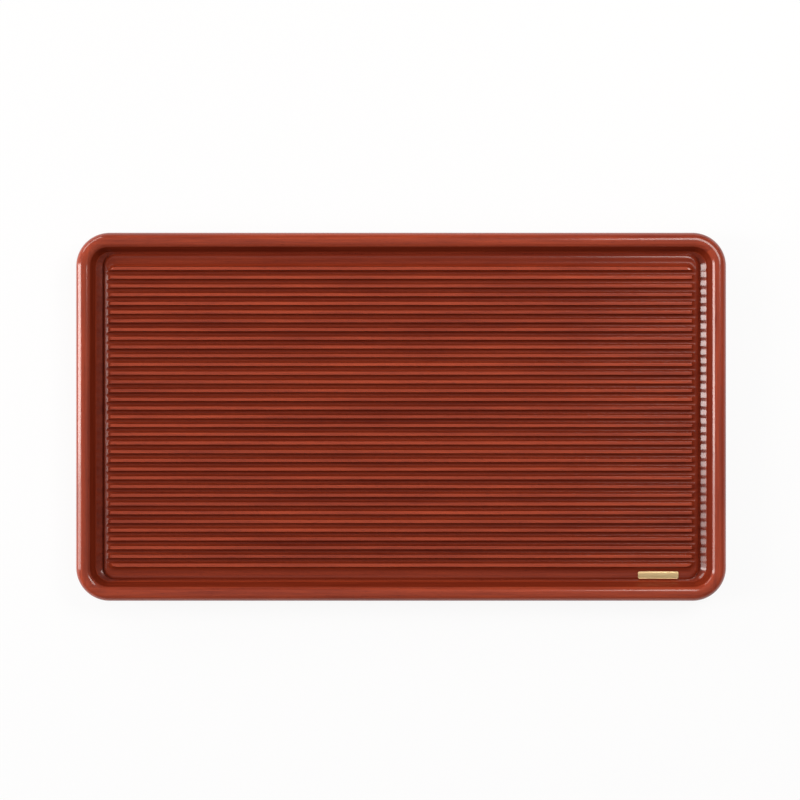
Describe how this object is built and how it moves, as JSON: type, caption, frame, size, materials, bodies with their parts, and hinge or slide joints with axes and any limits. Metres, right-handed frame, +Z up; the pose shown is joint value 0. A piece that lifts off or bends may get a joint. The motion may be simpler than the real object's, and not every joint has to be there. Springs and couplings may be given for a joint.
{
  "type": "gongfu tea tray",
  "caption": "Long ribbed wooden tea tray with a rounded raised rim, grooves that drain into a channel round the ribs, rubber feet and a small bare brass plate.",
  "frame": {"origin": "middle of the footprint, on the surface that the tray stands on", "axes": "+X along the length to the right, +Y from the front, where the brass plate is, to the back, +Z up"},
  "size_m": [0.6, 0.34, 0.03],
  "materials": {
    "frame_wood": "glossy red-brown lacquer over fine streaky grain that runs along each rail",
    "panel_wood": "glossy red-brown lacquer over fine streaky grain that runs along the ribs",
    "plain_wood": "oiled and sanded, unlacquered",
    "foot_rubber": "matt black",
    "screw_steel": "zinc-plated",
    "plate_brass": "brushed along its length, bare"
  },
  "bodies": {
    "root": {"front_rail": "frame_wood", "back_rail": "frame_wood", "left_rail": "frame_wood", "right_rail": "frame_wood", "spline_front_left": "plain_wood", "spline_front_right": "plain_wood", "spline_back_left": "plain_wood", "spline_back_right": "plain_wood", "front_board": "panel_wood", "front_mid_board": "panel_wood", "middle_board": "panel_wood", "back_mid_board": "panel_wood", "back_board": "panel_wood", "left_batten": "plain_wood", "middle_batten": "plain_wood", "right_batten": "plain_wood", "foot_front_left": "foot_rubber", "foot_front_right": "foot_rubber", "foot_back_left": "foot_rubber", "foot_back_right": "foot_rubber", "foot_screws": "screw_steel", "batten_screws": "screw_steel", "brass_plate": "plate_brass"}
  },
  "joints": []
}
